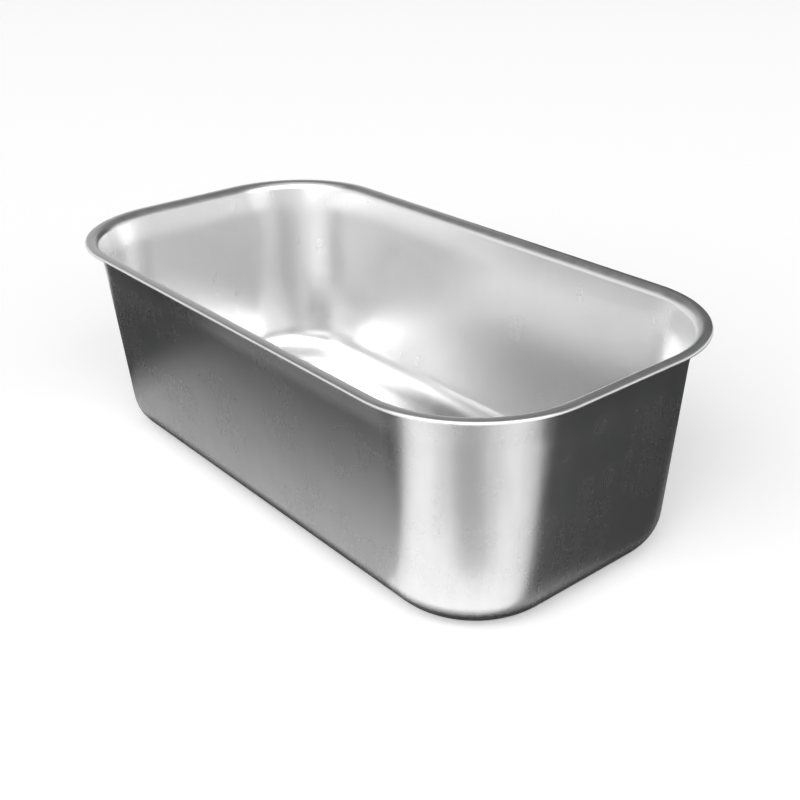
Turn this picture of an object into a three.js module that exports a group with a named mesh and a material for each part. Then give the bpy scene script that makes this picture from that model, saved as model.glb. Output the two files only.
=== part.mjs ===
// Hotel pan: a deep food pan drawn from a single sheet of stainless steel.
// The sheet runs from a flat floor through a rounded base edge into tapered walls, rolls outward
// over the rim and ends in a short turned-down lip. Millimetres, +Z up, +X along the pan's length,
// with the origin under the middle of the floor.
import * as THREE from 'three';

// Rim outline, seen from above
const RIM_LENGTH = 325;
const RIM_WIDTH = 170;
const RIM_CORNER_RADIUS = 56.5;

// Section through the sheet, the same all the way round
const HEIGHT = 105;
const SHEET = 0.8;
const WALL_TAPER_DEGREES = 4.5;
const BASE_EDGE_RADIUS = 18; // outside of the bend between floor and wall
const RIM_ROLL_RADIUS = 6.8; // upper side of the bend between wall and rim
const RIM_FLAT = 0.4; // level strip between the rim's roll and its lip
const LIP_RADIUS = 1.2; // outside of the bend at the rim's edge
const LIP_DROP = 1.5; // from the top of the rim down to the cut edge

// Fineness of the faceted surfaces: every quarter bend has twice as many steps
const BEND_DIVISIONS = 4;
const CORNER_DIVISIONS = 7;

const QUARTER_TURN = Math.PI / 2;
const HALF_TURN = Math.PI;

const stainlessSteel = new THREE.MeshStandardMaterial({
  name: 'stainless_steel',
  color: 0xb4b6b8,
  roughness: 0.28,
  metalness: 1,
});

// The pan's section as one open path in the plane of inset (inwards from the rim outline) and height:
// out along the underside from the floor to the lip, round the cut edge, and back along the top.
function sheetSection() {
  const taper = THREE.MathUtils.degToRad(WALL_TAPER_DEGREES);
  const insideFace = new THREE.Vector2(Math.cos(taper), Math.sin(taper));
  const downTheWall = new THREE.Vector2(Math.sin(taper), -Math.cos(taper));
  const baseInsideRadius = BASE_EDGE_RADIUS - SHEET;

  const lip = new THREE.Vector2(LIP_RADIUS, HEIGHT - LIP_RADIUS);
  const roll = new THREE.Vector2(LIP_RADIUS + RIM_FLAT, HEIGHT - RIM_ROLL_RADIUS);
  const wallTop = roll.clone().addScaledVector(insideFace, RIM_ROLL_RADIUS);
  const wallLength = (wallTop.y + baseInsideRadius * Math.sin(taper) - BASE_EDGE_RADIUS) / Math.cos(taper);
  const base = wallTop.clone();
  base.addScaledVector(downTheWall, wallLength);
  base.addScaledVector(insideFace, baseInsideRadius);
  const cutEdge = HEIGHT - LIP_DROP;

  const section = new THREE.Path();
  section.absarc(base.x, base.y, BASE_EDGE_RADIUS, -QUARTER_TURN, taper - HALF_TURN, true);
  section.absarc(roll.x, roll.y, RIM_ROLL_RADIUS - SHEET, taper, QUARTER_TURN, false);
  section.absarc(lip.x, lip.y, LIP_RADIUS - SHEET, QUARTER_TURN, HALF_TURN, false);
  section.lineTo(SHEET, cutEdge);
  section.lineTo(0, cutEdge);
  section.absarc(lip.x, lip.y, LIP_RADIUS, HALF_TURN, QUARTER_TURN, true);
  section.absarc(roll.x, roll.y, RIM_ROLL_RADIUS, QUARTER_TURN, taper, true);
  section.absarc(base.x, base.y, baseInsideRadius, taper - HALF_TURN, -QUARTER_TURN, false);
  return section.getPoints(BEND_DIVISIONS);
}

// The rim outline moved inwards by an inset: a rectangle with round corners, anticlockwise from above.
function outlineAt(inset) {
  const radius = RIM_CORNER_RADIUS - inset;
  const x = RIM_LENGTH / 2 - RIM_CORNER_RADIUS;
  const y = RIM_WIDTH / 2 - RIM_CORNER_RADIUS;
  const outline = new THREE.Path();
  outline.absarc(x, -y, radius, -QUARTER_TURN, 0, false);
  outline.absarc(x, y, radius, 0, QUARTER_TURN, false);
  outline.absarc(-x, y, radius, QUARTER_TURN, HALF_TURN, false);
  outline.absarc(-x, -y, radius, HALF_TURN, HALF_TURN + QUARTER_TURN, false);
  return outline.getPoints(CORNER_DIVISIONS);
}

// Carries the section round the outline, ring by ring, and closes the floor's two faces.
function sweepSheet(section) {
  const rings = section.map((point) => outlineAt(point.x));
  const ringSize = rings[0].length;
  const positions = rings.flatMap((ring, i) => ring.flatMap((point) => [point.x, point.y, section[i].y]));
  const triangles = [];
  for (let i = 0; i + 1 < rings.length; i += 1) {
    for (let j = 0; j < ringSize; j += 1) {
      const next = (j + 1) % ringSize;
      const here = i * ringSize;
      const onward = here + ringSize;
      triangles.push(here + j, here + next, onward + next);
      triangles.push(here + j, onward + next, onward + j);
    }
  }
  const lastRing = (rings.length - 1) * ringSize;
  for (const [a, b, c] of THREE.ShapeUtils.triangulateShape(rings[0], [])) {
    triangles.push(c, b, a);
  }
  for (const [a, b, c] of THREE.ShapeUtils.triangulateShape(rings.at(-1), [])) {
    triangles.push(lastRing + a, lastRing + b, lastRing + c);
  }
  const geometry = new THREE.BufferGeometry();
  geometry.setAttribute('position', new THREE.Float32BufferAttribute(positions, 3));
  geometry.setIndex(triangles);
  geometry.computeVertexNormals();
  return geometry;
}

const panShell = new THREE.Mesh(sweepSheet(sheetSection()), stainlessSteel);
panShell.name = 'pan_shell';

const hotelPan = new THREE.Group();
hotelPan.add(panShell);

export default hotelPan;
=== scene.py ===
"""Finished look of a deep-drawn stainless steel hotel pan, modelled on its frame."""

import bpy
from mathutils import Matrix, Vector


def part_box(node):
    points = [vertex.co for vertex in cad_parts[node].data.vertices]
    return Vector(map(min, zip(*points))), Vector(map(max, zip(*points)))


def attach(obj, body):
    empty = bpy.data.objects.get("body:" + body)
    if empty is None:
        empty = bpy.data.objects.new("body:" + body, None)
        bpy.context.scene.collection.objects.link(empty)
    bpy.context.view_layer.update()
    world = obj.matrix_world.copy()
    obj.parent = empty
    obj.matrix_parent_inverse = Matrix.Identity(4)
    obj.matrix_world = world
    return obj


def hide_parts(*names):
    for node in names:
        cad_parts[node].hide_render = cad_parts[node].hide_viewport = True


bl_info = {
    "name": "Hotel Pan",
    "version": (1, 0, 0),
    "blender": (4, 5, 0),
    "location": "View3D > Sidebar > Hotel Pan",
    "description": "Models a deep-drawn stainless steel food pan and stands it on a studio floor",
    "category": "Add Mesh",
}

import math

import bpy
from bpy.props import FloatProperty, FloatVectorProperty, IntProperty, PointerProperty
from mathutils import Matrix, Vector

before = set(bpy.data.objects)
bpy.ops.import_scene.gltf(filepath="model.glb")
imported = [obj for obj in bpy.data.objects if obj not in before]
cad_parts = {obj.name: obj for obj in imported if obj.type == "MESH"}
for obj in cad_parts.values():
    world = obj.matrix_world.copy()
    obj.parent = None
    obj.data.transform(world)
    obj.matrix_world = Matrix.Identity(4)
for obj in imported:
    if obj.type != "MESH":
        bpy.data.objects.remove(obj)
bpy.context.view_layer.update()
PAN_LOW, PAN_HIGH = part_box("pan_shell")
PAN_SPAN = PAN_HIGH - PAN_LOW

MM = 0.001
QUARTER_TURN = math.pi / 2
HALF_TURN = math.pi
ARC_PROFILE = 0.5
WHITE = (1, 1, 1, 1)

# The burr's bevel takes only edges sharper than this angle, in this many facets.
BURR_ANGLE = math.radians(50)
BURR_STEPS = 2

# How many times longer upright than across each kind of mark is.
MOTTLE_STRETCH = 0.6
SMUDGE_STRETCH = 0.7
STREAK_STRETCH = 30
UPRIGHT_SCRATCH_STRETCH = 13

# How many times longer than wide the level scratches are.
LEVEL_SCRATCH_LENGTH = 30

# Noise levels between which a mark sets in, and finer steps in the noise.
MARK_LOW = 0.3
MARK_HIGH = 0.7
MARK_DETAIL = 1
SCRATCH_LOW = 0.6
SCRATCH_HIGH = 0.8

# Rubbing along an edge: its reach where none is given, and how the noise thins it to the least share.
WEAR_REACH = 5 * MM
WEAR_LOW = 0.35
WEAR_HIGH = 0.65
WEAR_LEAST = 0.25
WEAR_DETAIL = 4

# Share of each kind of mark in the steel's tone.
SMUDGE_TONE = 0.5
STREAK_TONE = 0.25
MOTTLE_TONE = 0.12
SCRATCH_TONE = 0.03

# How far the tone moves colour and roughness, and the roughness that scratches and wear add.
COLOUR_SWING = 0.06
ROUGHNESS_SWING = 0.05
SCRATCH_DULLING = 0.012
WEAR_DULLING = 0.08

# Depth of the relief, and the share of mottle and streaks in it.
RELIEF_DEPTH = 0.004 * MM
MOTTLE_RELIEF = 0.35
STREAK_RELIEF = 0.3

# The floor's width in metres, its finish, and the glow that only the camera and reflections see.
FLOOR_SIZE = 12
FLOOR_ROUGHNESS = 0.9
FLOOR_LIFT = 0.2

# Light goes to and fro between the inner walls this often.
GLOSSY_BOUNCES = 12

# The camera's sensor in millimetres, and the nearest thing it sees in metres.
SENSOR_WIDTH = 36
CLIP_START = 0.01

# The surround: an elevation in degrees and its strength there, low down and high up.
SURROUND_LOW = (15, 0.5)
SURROUND_HIGH = (40, 0.13)

# Softboxes at one distance in metres: name, then azimuth, elevation, width and height in degrees as
# seen from the pan, then radiance.
LAMP_DISTANCE = 20
LAMPS = (
    ("left_lamp", 190, 14, 50, 20, 0.33),
    ("front_left_lamp", 237, 24, 44, 36, 0.4),
    ("side_lamp", 281, 33, 44, 52, 1.35),
    ("front_lamp", 316, 39, 60, 42, 2.15),
    ("front_right_lamp", 3, 30, 28, 46, 1.35),
    ("right_lamp", 68, 14, 82, 24, 0.28),
    ("top_lamp", 270, 78, 50, 44, 0.5),
)

# Glow of the near-black cards that only reflections see; they paint dark reflections into the steel.
CARD_TONE = 0.04

# The card behind the pan, which only reflections see and which paints a dark reflection: azimuth,
# elevation, width and height in degrees, and its distance in metres.
BACK_FLAG = (114, 15, 40, 28)
BACK_FLAG_DISTANCE = 2

# Painted shadow under the base edge, a dark card that only reflections see, in millimetres: size, corner
# radius and width of the soft edge.
FOOT_SHADE_CARD = ((312, 156), 50, 10)
FOOT_SHADE_CARD_STEPS = 8

# Cards on the floor that only reflections see, painting dark reflections into the steel: name, turns about
# the upright axis, the corners where the card has faded out and those where it is whole, in millimetres and
# in order round the card, and its cover there.
FLAGS = (
    (
        "side_flag",
        (0, HALF_TURN),
        ((-330, 70), (118, 40), (50, -460), (-460, -460)),
        ((-240, -165), (64, -165), (5, -400), (-400, -400)),
        1,
    ),
    (
        "right_end_flag",
        (0,),
        ((130, -60), (430, 62), (430, 430), (100, 150)),
        ((168, -28), (410, 120), (410, 400), (140, 140)),
        0.97,
    ),
    (
        "left_end_flag",
        (HALF_TURN,),
        ((130, -60), (430, 62), (430, 430), (150, 150)),
        ((178, -28), (410, 120), (410, 400), (190, 140)),
        0.96,
    ),
    (
        "corner_flag",
        (0, HALF_TURN),
        ((120, -120), (215, -40), (520, -200), (240, -520)),
        ((150, -150), (245, -70), (480, -220), (260, -480)),
        0.3,
    ),
    (
        "dip_flag",
        (0, HALF_TURN),
        ((140, -100), (190, -50), (480, -240), (300, -440)),
        ((158, -85), (168, -75), (440, -330), (370, -400)),
        0.45,
    ),
)

# Each card lies this much above the one before. The inset parts the two rings of corners on a unit
# card, before they go to their places.
FLAG_LIFT = 0.06 * MM
FLAG_INSET = 0.25


class PanSizes(bpy.types.PropertyGroup):
    """The pan's driving sizes, in metres"""

    rim_length: FloatProperty(
        name="Rim Length",
        description="Over the rim, end to end",
        default=PAN_SPAN.x,
        unit="LENGTH",
    )
    rim_width: FloatProperty(
        name="Rim Width",
        description="Over the rim, side to side",
        default=PAN_SPAN.y,
        unit="LENGTH",
    )
    height: FloatProperty(
        name="Height",
        description="From the table to the top of the rim",
        default=PAN_SPAN.z,
        unit="LENGTH",
    )
    corner_radius: FloatProperty(
        name="Corner Radius",
        description="Of the rim, seen from above",
        default=56.5 * MM,
        unit="LENGTH",
    )
    sheet: FloatProperty(
        name="Sheet",
        description="Thickness of the steel",
        default=0.8 * MM,
        unit="LENGTH",
    )
    wall_taper: FloatProperty(
        name="Wall Taper",
        description="Lean of the walls from upright",
        default=math.radians(4.5),
        subtype="ANGLE",
    )
    base_edge_radius: FloatProperty(
        name="Base Edge Radius",
        description="Outside of the bend at the floor",
        default=18 * MM,
        unit="LENGTH",
    )
    wall_inset: FloatProperty(
        name="Wall Inset",
        description="From the rim's outline to the wall's inner face, carried up to the rim's height",
        default=7.89 * MM,
        unit="LENGTH",
    )
    neck_lean: FloatProperty(
        name="Neck Lean",
        description="Lean from upright of the short neck under the rim",
        default=math.radians(10),
        subtype="ANGLE",
    )
    neck_bend_radius: FloatProperty(
        name="Neck Bend Radius",
        description="Inside of the bend from neck to wall",
        default=60 * MM,
        unit="LENGTH",
    )
    rim_roll_radius: FloatProperty(
        name="Rim Roll Radius",
        description="Upper side of the bend from neck to rim",
        default=4.6 * MM,
        unit="LENGTH",
    )
    rim_flat: FloatProperty(
        name="Rim Flat",
        description="Level strip on top of the rim",
        default=1.4 * MM,
        unit="LENGTH",
    )
    lip_radius: FloatProperty(
        name="Lip Radius",
        description="Outside of the bend at the rim's edge",
        default=1.2 * MM,
        unit="LENGTH",
    )
    lip_drop: FloatProperty(
        name="Lip Drop",
        description="From the top of the rim to the cut edge",
        default=1.5 * MM,
        unit="LENGTH",
    )
    burr_radius: FloatProperty(
        name="Burr Radius",
        description="Rounding left on the cut edge",
        default=0.12 * MM,
        unit="LENGTH",
    )
    corner_steps: IntProperty(
        name="Corner Steps",
        description="Facets round each corner",
        default=32,
        min=4,
    )
    bend_steps: IntProperty(
        name="Bend Steps",
        description="Facets across each bend of the sheet",
        default=14,
        min=3,
    )
    wall_steps: IntProperty(
        name="Wall Steps",
        description="Facets up the walls",
        default=12,
        min=1,
    )


class SteelFinish(bpy.types.PropertyGroup):
    """Colours, polish and marks of the two sides of the sheet"""

    # The well's steel is set lighter than the outside's: a lit copy of the one steel, painting extra
    # brightness into the well.
    inside_colour: FloatVectorProperty(
        name="Inside",
        description="Steel seen in the well",
        default=(0.93, 0.93, 0.93),
        size=3,
        subtype="COLOR",
    )
    outside_colour: FloatVectorProperty(
        name="Outside",
        description="Steel seen on the outer walls",
        default=(0.8, 0.8, 0.8),
        size=3,
        subtype="COLOR",
    )
    inside_roughness: FloatProperty(
        name="Inside Roughness",
        description="Satin polish in the well",
        default=0.28,
        min=0,
        max=1,
        subtype="FACTOR",
    )
    outside_roughness: FloatProperty(
        name="Outside Roughness",
        description="Satin polish outside",
        default=0.25,
        min=0,
        max=1,
        subtype="FACTOR",
    )
    inside_marks: FloatProperty(
        name="Inside Marks",
        description="How strongly the well is mottled",
        default=0.2,
        min=0,
        max=1,
        subtype="FACTOR",
    )
    outside_marks: FloatProperty(
        name="Outside Marks",
        description="How strongly the outside is mottled",
        default=0.6,
        min=0,
        max=1,
        subtype="FACTOR",
    )
    mottle_size: FloatProperty(
        name="Mottle Size",
        description="Grain raised by drawing the sheet",
        default=6 * MM,
        unit="LENGTH",
    )
    smudge_size: FloatProperty(
        name="Smudge Size",
        description="Dull patches from handling",
        default=28 * MM,
        unit="LENGTH",
    )
    streak_spacing: FloatProperty(
        name="Streak Spacing",
        description="Between the marks that drawing leaves up the walls",
        default=5 * MM,
        unit="LENGTH",
    )
    scratch_width: FloatProperty(
        name="Scratch Width",
        description="Of the fine scratches from stacking",
        default=1.6 * MM,
        unit="LENGTH",
    )
    rim_wear: FloatProperty(
        name="Rim Wear",
        description="How far down from the rim it is rubbed",
        default=5 * MM,
        unit="LENGTH",
    )
    base_wear: FloatProperty(
        name="Base Wear",
        description="How far up from the table it is rubbed",
        default=14 * MM,
        unit="LENGTH",
    )


class StageLook(bpy.types.PropertyGroup):
    """Studio floor and camera"""

    floor_colour: FloatVectorProperty(
        name="Floor",
        description="Pale studio floor",
        default=(0.95, 0.95, 0.95),
        size=3,
        subtype="COLOR",
    )
    view_azimuth: FloatProperty(
        name="View Azimuth",
        description="Camera's turn about the pan",
        default=math.radians(51.15),
        subtype="ANGLE",
    )
    view_elevation: FloatProperty(
        name="View Elevation",
        description="Camera's height angle",
        default=math.radians(26.58),
        subtype="ANGLE",
    )
    view_roll: FloatProperty(
        name="View Roll",
        description="Camera's tilt to one side",
        default=math.radians(-1.47),
        subtype="ANGLE",
    )
    view_distance: FloatProperty(
        name="View Distance",
        description="From the camera to its aim",
        default=534.6 * MM,
        unit="LENGTH",
    )
    view_aim: FloatVectorProperty(
        name="View Aim",
        description="Point in the middle of the picture",
        default=(34.9 * MM, -9.2 * MM, 52.5 * MM),
        size=3,
        subtype="TRANSLATION",
        unit="LENGTH",
    )
    lens: FloatProperty(
        name="Lens",
        description="Focal length in millimetres",
        default=51.9,
        unit="CAMERA",
    )


def section_path(sizes):
    """Inset from the rim outline and height of the sheet's upper face, from the cut edge to the floor."""
    taper = sizes.wall_taper
    lean = sizes.neck_lean
    wall_face = Vector((math.cos(taper), math.sin(taper)))
    neck_face = Vector((math.cos(lean), math.sin(lean)))
    down_the_wall = Vector((math.sin(taper), -math.cos(taper)))
    down_the_neck = Vector((math.sin(lean), -math.cos(lean)))
    base_radius = sizes.base_edge_radius - sizes.sheet

    lip = Vector((sizes.lip_radius, sizes.height - sizes.lip_radius))
    roll = Vector((lip.x + sizes.rim_flat, sizes.height - sizes.rim_roll_radius))
    neck_top = roll + neck_face * sizes.rim_roll_radius
    wall_line = Vector((sizes.wall_inset, sizes.height))
    neck_length = (wall_line - neck_top).dot(wall_face) / down_the_neck.dot(wall_face)
    crossing = neck_top + down_the_neck * neck_length
    half_way = (neck_face + wall_face) / (1 + neck_face.dot(wall_face))
    neck_bend = crossing - half_way * sizes.neck_bend_radius
    wall_top = neck_bend + wall_face * sizes.neck_bend_radius
    wall_length = wall_top.y + base_radius * math.sin(taper) - sizes.base_edge_radius
    wall_length /= math.cos(taper)
    wall_foot = wall_top + down_the_wall * wall_length
    base = wall_foot + wall_face * base_radius

    path = [Vector((0, sizes.height - sizes.lip_drop))]
    path += bend(lip, sizes.lip_radius, HALF_TURN, QUARTER_TURN, sizes.bend_steps // 2)
    path += bend(roll, sizes.rim_roll_radius, QUARTER_TURN, lean, sizes.bend_steps)
    path += bend(neck_bend, sizes.neck_bend_radius, lean, taper, sizes.bend_steps)
    path += [wall_top.lerp(wall_foot, i / sizes.wall_steps) for i in range(1, sizes.wall_steps)]
    path += bend(base, base_radius, HALF_TURN + taper, HALF_TURN + QUARTER_TURN, sizes.bend_steps)
    return path


def bend(centre, radius, start, end, steps):
    """Points along an arc of the section."""
    turns = [start + (end - start) * i / steps for i in range(steps + 1)]
    return [centre + radius * Vector((math.cos(turn), math.sin(turn))) for turn in turns]


def start_piece(name):
    """Adds a unit plane as a new object of that name and opens it for editing, selected all over."""
    bpy.ops.object.select_all(action="DESELECT")
    bpy.ops.mesh.primitive_plane_add(size=1, location=(0, 0, 0))
    piece = bpy.context.object
    piece.name = name
    piece.data.name = name
    bpy.ops.object.mode_set(mode="EDIT")
    return piece


def finish_modifier(piece, kind, **settings):
    """Adds a modifier with these settings and applies it."""
    modifier = piece.modifiers.new(kind.title(), kind)
    for key, value in settings.items():
        setattr(modifier, key, value)
    bpy.ops.object.modifier_apply(modifier=modifier.name)


def draw_sheet(sizes):
    """Draws the pan from a flat blank: round its corners, then step inwards down the section."""
    path = section_path(sizes)
    piece = start_piece("drawn_pan")
    bpy.ops.transform.resize(value=(sizes.rim_length, sizes.rim_width, 1))
    bpy.ops.transform.translate(value=(0, 0, path[0].y))
    bpy.ops.mesh.bevel(
        offset=sizes.corner_radius,
        segments=sizes.corner_steps,
        profile=ARC_PROFILE,
        affect="VERTICES",
    )
    for here, onward in zip(path, path[1:]):
        step = onward - here
        bpy.ops.mesh.inset(thickness=step.x, depth=step.y, use_boundary=True, use_even_offset=True)
    bpy.ops.object.mode_set(mode="OBJECT")
    return piece


class HOTELPAN_OT_draw_pan(bpy.types.Operator):
    """Draw the steel sheet into floor, walls, rim and lip"""

    bl_idname = "hotel_pan.draw_pan"
    bl_label = "Draw the Pan"

    def execute(self, context):
        sizes = context.scene.hotel_pan_sizes
        finish = context.scene.hotel_pan_finish
        sheet_noise()
        edge_wear()
        piece = draw_sheet(sizes)
        for side in ("inside", "outside"):
            piece.data.materials.append(drawn_steel(side, finish, sizes.height))
        # The sheet thickens behind the drawn face; its back and cut edge take the outside steel.
        finish_modifier(
            piece,
            "SOLIDIFY",
            thickness=sizes.sheet,
            offset=-1,
            use_even_offset=True,
            material_offset=1,
            material_offset_rim=1,
        )
        finish_modifier(
            piece,
            "BEVEL",
            width=sizes.burr_radius,
            segments=BURR_STEPS,
            limit_method="ANGLE",
            angle_limit=BURR_ANGLE,
        )
        bpy.ops.object.shade_smooth()
        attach(piece, "root")
        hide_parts("pan_shell")
        return {"FINISHED"}


def start_group(name, inputs, output):
    """A node group with these numbers as inputs and one number as output."""
    tree = bpy.data.node_groups.new(name, "ShaderNodeTree")
    for label, value in inputs.items():
        socket = tree.interface.new_socket(label, in_out="INPUT", socket_type="NodeSocketFloat")
        socket.default_value = value
    tree.interface.new_socket(output, in_out="OUTPUT", socket_type="NodeSocketFloat")
    return tree, tree.nodes.new("NodeGroupInput").outputs, tree.nodes.new("NodeGroupOutput").inputs


def place_group(tree, name, **values):
    """Places a node group with its own values and returns its output."""
    node = tree.nodes.new("ShaderNodeGroup")
    node.node_tree = bpy.data.node_groups[name]
    for label, value in values.items():
        node.inputs[label.title()].default_value = value
    return node.outputs[0]


def feed(tree, socket, value):
    """Links an output to a socket, or sets the socket to a number."""
    if isinstance(value, bpy.types.NodeSocket):
        tree.links.new(value, socket)
    else:
        socket.default_value = value


def reckon(tree, operation, *values):
    """One step of arithmetic on outputs or numbers."""
    node = tree.nodes.new("ShaderNodeMath")
    node.operation = operation
    for socket, value in zip(node.inputs, values):
        feed(tree, socket, value)
    return node.outputs[0]


def ramp(tree, value, low, high, start=0, end=1):
    """Turns the span from low to high into the span from start to end, softly."""
    node = tree.nodes.new("ShaderNodeMapRange")
    node.interpolation_type = "SMOOTHSTEP"
    feed(tree, node.inputs["Value"], value)
    feed(tree, node.inputs["From Min"], low)
    feed(tree, node.inputs["From Max"], high)
    feed(tree, node.inputs["To Min"], start)
    feed(tree, node.inputs["To Max"], end)
    return node.outputs["Result"]


def noise(tree, place, size, detail):
    """Noise whose grain is about that size."""
    node = tree.nodes.new("ShaderNodeTexNoise")
    tree.links.new(place, node.inputs["Vector"])
    feed(tree, node.inputs["Scale"], reckon(tree, "DIVIDE", 1, size))
    node.inputs["Detail"].default_value = detail
    return node.outputs["Fac"]


def stretched_place(tree, place, stretch):
    """The place on the pan, with heights divided by the stretch, so that marks there grow upright by it."""
    upright = tree.nodes.new("ShaderNodeCombineXYZ")
    upright.inputs["X"].default_value = 1
    upright.inputs["Y"].default_value = 1
    feed(tree, upright.inputs["Z"], reckon(tree, "DIVIDE", 1, stretch))
    product = tree.nodes.new("ShaderNodeVectorMath")
    product.operation = "MULTIPLY"
    tree.links.new(place, product.inputs[0])
    tree.links.new(upright.outputs[0], product.inputs[1])
    return product.outputs[0]


def sheet_noise():
    """Node group: marks of one size, stretched upright, where the noise passes from low to high."""
    inputs = {"Size": MM, "Stretch": 1, "Low": MARK_LOW, "High": MARK_HIGH}
    tree, given, result = start_group("sheet_noise", inputs, "Mask")
    place = tree.nodes.new("ShaderNodeTexCoord").outputs["Object"]
    grain = noise(tree, stretched_place(tree, place, given["Stretch"]), given["Size"], MARK_DETAIL)
    tree.links.new(ramp(tree, grain, given["Low"], given["High"]), result["Mask"])


def edge_wear():
    """Node group: uneven rubbing that fades with distance above or below a height."""
    tree, given, result = start_group("edge_wear", {"Height": 0, "Reach": WEAR_REACH}, "Mask")
    place = tree.nodes.new("ShaderNodeTexCoord").outputs["Object"]
    parts = tree.nodes.new("ShaderNodeSeparateXYZ")
    tree.links.new(place, parts.inputs[0])
    off_edge = reckon(tree, "ABSOLUTE", reckon(tree, "SUBTRACT", parts.outputs["Z"], given["Height"]))
    near = ramp(tree, off_edge, 0, given["Reach"], 1, 0)
    grain = noise(tree, place, given["Reach"], WEAR_DETAIL)
    uneven = ramp(tree, grain, WEAR_LOW, WEAR_HIGH, WEAR_LEAST, 1)
    tree.links.new(reckon(tree, "MULTIPLY", near, uneven), result["Mask"])


def drawn_steel(side, finish, rim_height):
    """Satin stainless steel with the marks of drawing, handling and wear."""
    colour = Vector(getattr(finish, side + "_colour"))
    roughness = getattr(finish, side + "_roughness")
    marks = getattr(finish, side + "_marks")
    material = bpy.data.materials.new(side + "_steel")
    material.use_nodes = True
    tree = material.node_tree
    shader = tree.nodes["Principled BSDF"]
    shader.inputs["Metallic"].default_value = 1

    mottle = place_group(tree, "sheet_noise", size=finish.mottle_size, stretch=MOTTLE_STRETCH)
    smudge = place_group(tree, "sheet_noise", size=finish.smudge_size, stretch=SMUDGE_STRETCH)
    streak = place_group(tree, "sheet_noise", size=finish.streak_spacing, stretch=STREAK_STRETCH)
    upright_scratch = place_group(
        tree,
        "sheet_noise",
        size=finish.scratch_width,
        stretch=UPRIGHT_SCRATCH_STRETCH,
        low=SCRATCH_LOW,
        high=SCRATCH_HIGH,
    )
    level_scratch = place_group(
        tree,
        "sheet_noise",
        size=finish.scratch_width * LEVEL_SCRATCH_LENGTH,
        stretch=1 / LEVEL_SCRATCH_LENGTH,
        low=SCRATCH_LOW,
        high=SCRATCH_HIGH,
    )
    scratch = reckon(tree, "MAXIMUM", upright_scratch, level_scratch)
    rim_wear = place_group(tree, "edge_wear", height=rim_height, reach=finish.rim_wear)
    base_wear = place_group(tree, "edge_wear", height=0, reach=finish.base_wear)
    wear = reckon(tree, "MAXIMUM", rim_wear, base_wear)

    tone = reckon(tree, "MULTIPLY", smudge, SMUDGE_TONE)
    tone = reckon(tree, "MULTIPLY_ADD", streak, STREAK_TONE, tone)
    tone = reckon(tree, "MULTIPLY_ADD", mottle, MOTTLE_TONE * marks, tone)
    tone = reckon(tree, "MULTIPLY_ADD", scratch, SCRATCH_TONE * marks, tone)
    colour_swing = COLOUR_SWING * marks
    tint = tree.nodes.new("ShaderNodeMix")
    tint.data_type = "RGBA"
    tree.links.new(tone, tint.inputs["Factor"])
    tint.inputs["A"].default_value = (*colour * (1 - colour_swing), 1)
    tint.inputs["B"].default_value = (*colour * (1 + colour_swing), 1)
    tree.links.new(tint.outputs["Result"], shader.inputs["Base Color"])

    roughness_swing = ROUGHNESS_SWING * marks
    dullness = ramp(tree, tone, 0, 1, roughness + roughness_swing, roughness - roughness_swing)
    dullness = reckon(tree, "MULTIPLY_ADD", scratch, SCRATCH_DULLING * marks, dullness)
    dullness = reckon(tree, "MULTIPLY_ADD", wear, WEAR_DULLING, dullness)
    tree.links.new(dullness, shader.inputs["Roughness"])

    relief = reckon(tree, "MULTIPLY", mottle, MOTTLE_RELIEF)
    relief = reckon(tree, "MULTIPLY_ADD", streak, STREAK_RELIEF, relief)
    bump = tree.nodes.new("ShaderNodeBump")
    bump.inputs["Strength"].default_value = marks
    bump.inputs["Distance"].default_value = RELIEF_DEPTH
    tree.links.new(relief, bump.inputs["Height"])
    tree.links.new(bump.outputs["Normal"], shader.inputs["Normal"])
    return material


def lay_floor(look):
    """A wide pale floor under the pan."""
    bpy.ops.object.select_all(action="DESELECT")
    bpy.ops.mesh.primitive_plane_add(size=FLOOR_SIZE, location=(0, 0, 0))
    floor = bpy.context.object
    floor.name = "studio_floor"
    material = bpy.data.materials.new("pale_floor")
    material.use_nodes = True
    shader = material.node_tree.nodes["Principled BSDF"]
    shader.inputs["Base Color"].default_value = (*look.floor_colour, 1)
    shader.inputs["Roughness"].default_value = FLOOR_ROUGHNESS
    shader.inputs["Specular IOR Level"].default_value = 0
    show_pale(material.node_tree, shader.inputs["Emission Strength"], FLOOR_LIFT)
    shader.inputs["Emission Color"].default_value = WHITE
    floor.data.materials.append(material)


def show_pale(tree, strength, level):
    """Feeds a strength with that level where the camera or a reflection looks, and with none elsewhere."""
    path = tree.nodes.new("ShaderNodeLightPath").outputs
    reflected = reckon(tree, "MAXIMUM", path["Is Glossy Ray"], path["Is Transmission Ray"])
    seen = reckon(tree, "MAXIMUM", path["Is Camera Ray"], reflected)
    tree.links.new(reckon(tree, "MULTIPLY", seen, level), strength)


def light_world():
    """A surround that is pale low down and dims towards the top."""
    world = bpy.data.worlds.new("studio_surround")
    bpy.context.scene.world = world
    world.use_nodes = True
    tree = world.node_tree
    parts = tree.nodes.new("ShaderNodeSeparateXYZ")
    tree.links.new(tree.nodes.new("ShaderNodeTexCoord").outputs["Generated"], parts.inputs[0])
    low, low_strength = SURROUND_LOW
    high, high_strength = SURROUND_HIGH
    low_rise = math.sin(math.radians(low))
    high_rise = math.sin(math.radians(high))
    strength = ramp(tree, parts.outputs["Z"], low_rise, high_rise, low_strength, high_strength)
    background = tree.nodes["Background"]
    background.inputs["Color"].default_value = WHITE
    tree.links.new(strength, background.inputs["Strength"])


def spread(angle, distance):
    """The width of a thing that looks as wide as that angle from that distance."""
    return 2 * distance * math.tan(angle / 2)


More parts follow.
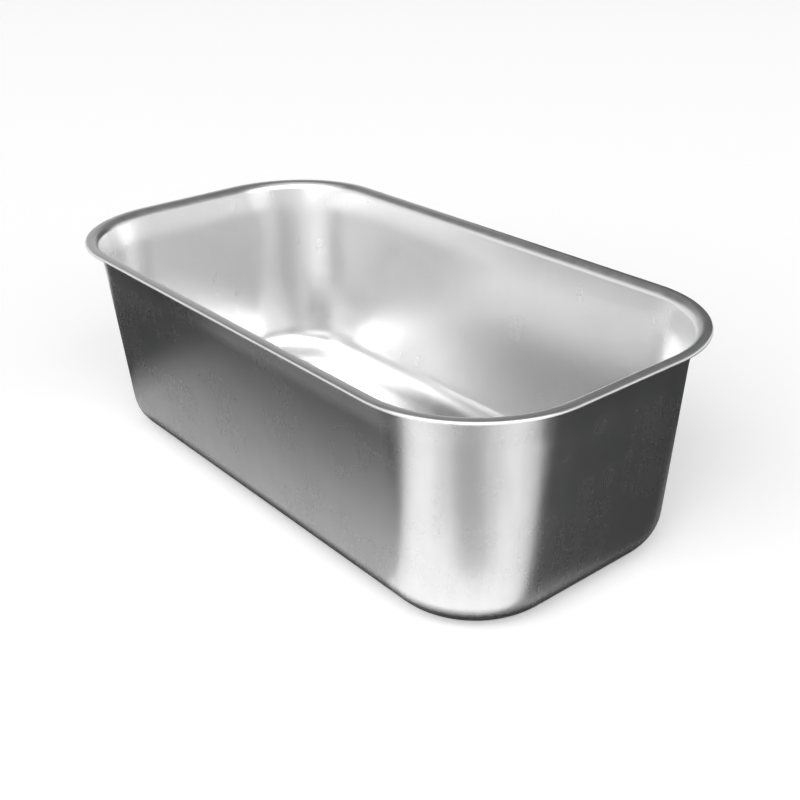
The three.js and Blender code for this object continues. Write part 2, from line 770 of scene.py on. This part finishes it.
def face_pan(thing, azimuth, elevation, distance):
    """Stands a lamp or a card off the pan in that direction, turned to face it."""
    level = Vector((math.cos(azimuth), math.sin(azimuth), 0))
    outward = level * math.cos(elevation) + Vector((0, 0, math.sin(elevation)))
    thing.location = outward * distance
    thing.rotation_euler = outward.to_track_quat("Z", "Y").to_euler()


def hang_lamp(name, azimuth, elevation, width, height, radiance):
    """A far-off softbox that looks as wide and as high as these angles."""
    lamp = bpy.data.lights.new(name, "AREA")
    lamp.shape = "RECTANGLE"
    lamp.size = spread(width, LAMP_DISTANCE)
    lamp.size_y = spread(height, LAMP_DISTANCE)
    lamp.energy = radiance * math.pi * lamp.size * lamp.size_y
    softbox = bpy.data.objects.new(name, lamp)
    face_pan(softbox, azimuth, elevation, LAMP_DISTANCE)
    softbox.visible_camera = False
    bpy.context.scene.collection.objects.link(softbox)


def dark_reflection_card():
    """Near-black dim glow that only reflections see, painting dark reflections into the steel; it fades out
    where its cover does.
    """
    material = bpy.data.materials.new("dark_reflection_card")
    material.use_nodes = True
    material.cycles.emission_sampling = "NONE"
    tree = material.node_tree
    tree.nodes.clear()
    cover = tree.nodes.new("ShaderNodeAttribute")
    cover.attribute_name = "cover"
    # A dim glow rather than a lit surface: the card's dark tone in the steel's reflections is painted.
    dim_glow = tree.nodes.new("ShaderNodeEmission")
    dim_glow.inputs["Color"].default_value = (CARD_TONE, CARD_TONE, CARD_TONE, 1)
    clear = tree.nodes.new("ShaderNodeBsdfTransparent")
    mix = tree.nodes.new("ShaderNodeMixShader")
    out = tree.nodes.new("ShaderNodeOutputMaterial")
    tree.links.new(cover.outputs["Fac"], mix.inputs[0])
    tree.links.new(clear.outputs[0], mix.inputs[1])
    tree.links.new(dim_glow.outputs[0], mix.inputs[2])
    tree.links.new(mix.outputs[0], out.inputs["Surface"])


def hang_back_flag(azimuth, elevation, width, height):
    """A dark card standing behind the pan that looks as wide and as high as these angles; only reflections
    see it, so it paints a dark reflection.
    """
    flag = start_piece("back_flag")
    bpy.ops.object.mode_set(mode="OBJECT")
    face_pan(flag, azimuth, elevation, BACK_FLAG_DISTANCE)
    flag.scale = (spread(width, BACK_FLAG_DISTANCE), spread(height, BACK_FLAG_DISTANCE), 1)
    finish_flag(flag, 1)


def lay_foot_shade_card(size, radius, feather):
    """Painted shadow under the pan's rounded base edge: a dark card that only reflections see."""
    flag = start_piece("foot_flag")
    bpy.ops.transform.resize(value=(size[0] * MM, size[1] * MM, 1))
    bpy.ops.transform.translate(value=(0, 0, FLAG_LIFT))
    bpy.ops.mesh.bevel(
        offset=radius * MM,
        segments=FOOT_SHADE_CARD_STEPS,
        profile=ARC_PROFILE,
        affect="VERTICES",
    )
    bpy.ops.mesh.inset(thickness=feather * MM)
    bpy.ops.object.mode_set(mode="OBJECT")
    finish_flag(flag, 1)


def lay_flag(name, outer, inner, cover, turn, lift):
    """A dark card on the floor that fades from its inner corners to its outer ones; only reflections see
    it, so it paints a dark reflection.
    """
    flag = start_piece(name)
    bpy.ops.mesh.inset(thickness=FLAG_INSET)
    bpy.ops.object.mode_set(mode="OBJECT")
    spin = Matrix.Rotation(turn, 3, "Z")
    for vertex in flag.data.vertices:
        corners = inner if vertex.select else outer
        bearing = math.atan2(vertex.co.y, vertex.co.x) + HALF_TURN
        x, y = corners[int(bearing // QUARTER_TURN)]
        vertex.co = spin @ Vector((x * MM, y * MM, lift))
    finish_flag(flag, cover)


def finish_flag(flag, cover):
    """Covers a flag where it is still selected, and hides it from all but reflections."""
    soft = flag.data.attributes.new("cover", "FLOAT", "POINT")
    for vertex in flag.data.vertices:
        soft.data[vertex.index].value = cover if vertex.select else 0
    flag.data.materials.append(bpy.data.materials["dark_reflection_card"])
    flag.visible_camera = False
    flag.visible_diffuse = False
    flag.visible_shadow = False
    flag.visible_transmission = False


def set_camera(look):
    """The camera at the photograph's viewing angle."""
    turn = look.view_azimuth
    rise = look.view_elevation
    roll = look.view_roll
    back = Vector((math.sin(turn) * math.cos(rise), -math.cos(turn) * math.cos(rise), math.sin(rise)))
    level = Vector((math.cos(turn), math.sin(turn), 0))
    upright = back.cross(level)
    right = level * math.cos(roll) + upright * math.sin(roll)
    up = upright * math.cos(roll) - level * math.sin(roll)
    data = bpy.data.cameras.new("photo_camera")
    data.sensor_width = SENSOR_WIDTH
    data.lens = look.lens
    data.clip_start = CLIP_START
    camera = bpy.data.objects.new("photo_camera", data)
    axes = Matrix((right, up, back)).transposed().to_4x4()
    camera.matrix_world = Matrix.Translation(Vector(look.view_aim) + back * look.view_distance) @ axes
    bpy.context.scene.collection.objects.link(camera)
    bpy.context.scene.camera = camera


class HOTELPAN_OT_set_stage(bpy.types.Operator):
    """Set the floor, the light and the camera"""

    bl_idname = "hotel_pan.set_stage"
    bl_label = "Set the Stage"

    def execute(self, context):
        look = context.scene.hotel_pan_stage
        context.scene.view_settings.view_transform = "Standard"
        context.scene.cycles.glossy_bounces = GLOSSY_BOUNCES
        lay_floor(look)
        light_world()
        dark_reflection_card()
        for name, azimuth, elevation, width, height, radiance in LAMPS:
            angles = [math.radians(angle) for angle in (azimuth, elevation, width, height)]
            hang_lamp(name, *angles, radiance)
        hang_back_flag(*[math.radians(angle) for angle in BACK_FLAG])
        lay_foot_shade_card(*FOOT_SHADE_CARD)
        lift = FLAG_LIFT
        for name, turns, outer, inner, cover in FLAGS:
            for turn in turns:
                lift += FLAG_LIFT
                lay_flag(name, outer, inner, cover, turn, lift)
        set_camera(look)
        return {"FINISHED"}


class HOTELPAN_PT_sidebar(bpy.types.Panel):
    """Sizes, finish and stage of the hotel pan"""

    bl_label = "Hotel Pan"
    bl_space_type = "VIEW_3D"
    bl_region_type = "UI"
    bl_category = "Hotel Pan"

    def draw(self, context):
        for name, group in GROUPS.items():
            settings = getattr(context.scene, name)
            column = self.layout.column(align=True)
            for label in group.__annotations__:
                column.prop(settings, label)
        for operator in OPERATORS:
            self.layout.operator(operator.bl_idname)


GROUPS = {
    "hotel_pan_sizes": PanSizes,
    "hotel_pan_finish": SteelFinish,
    "hotel_pan_stage": StageLook,
}
OPERATORS = (HOTELPAN_OT_draw_pan, HOTELPAN_OT_set_stage)
CLASSES = (*GROUPS.values(), *OPERATORS, HOTELPAN_PT_sidebar)


def register():
    """Registers the classes and hangs the settings on the scene."""
    for item in CLASSES:
        bpy.utils.register_class(item)
    for name, group in GROUPS.items():
        setattr(bpy.types.Scene, name, PointerProperty(type=group))


def unregister():
    """Takes the settings and the classes away again."""
    for name in GROUPS:
        delattr(bpy.types.Scene, name)
    for item in reversed(CLASSES):
        bpy.utils.unregister_class(item)


def main():
    """Builds the pan and its stage."""
    register()
    bpy.ops.hotel_pan.draw_pan()
    bpy.ops.hotel_pan.set_stage()


if __name__ == "__main__":
    main()
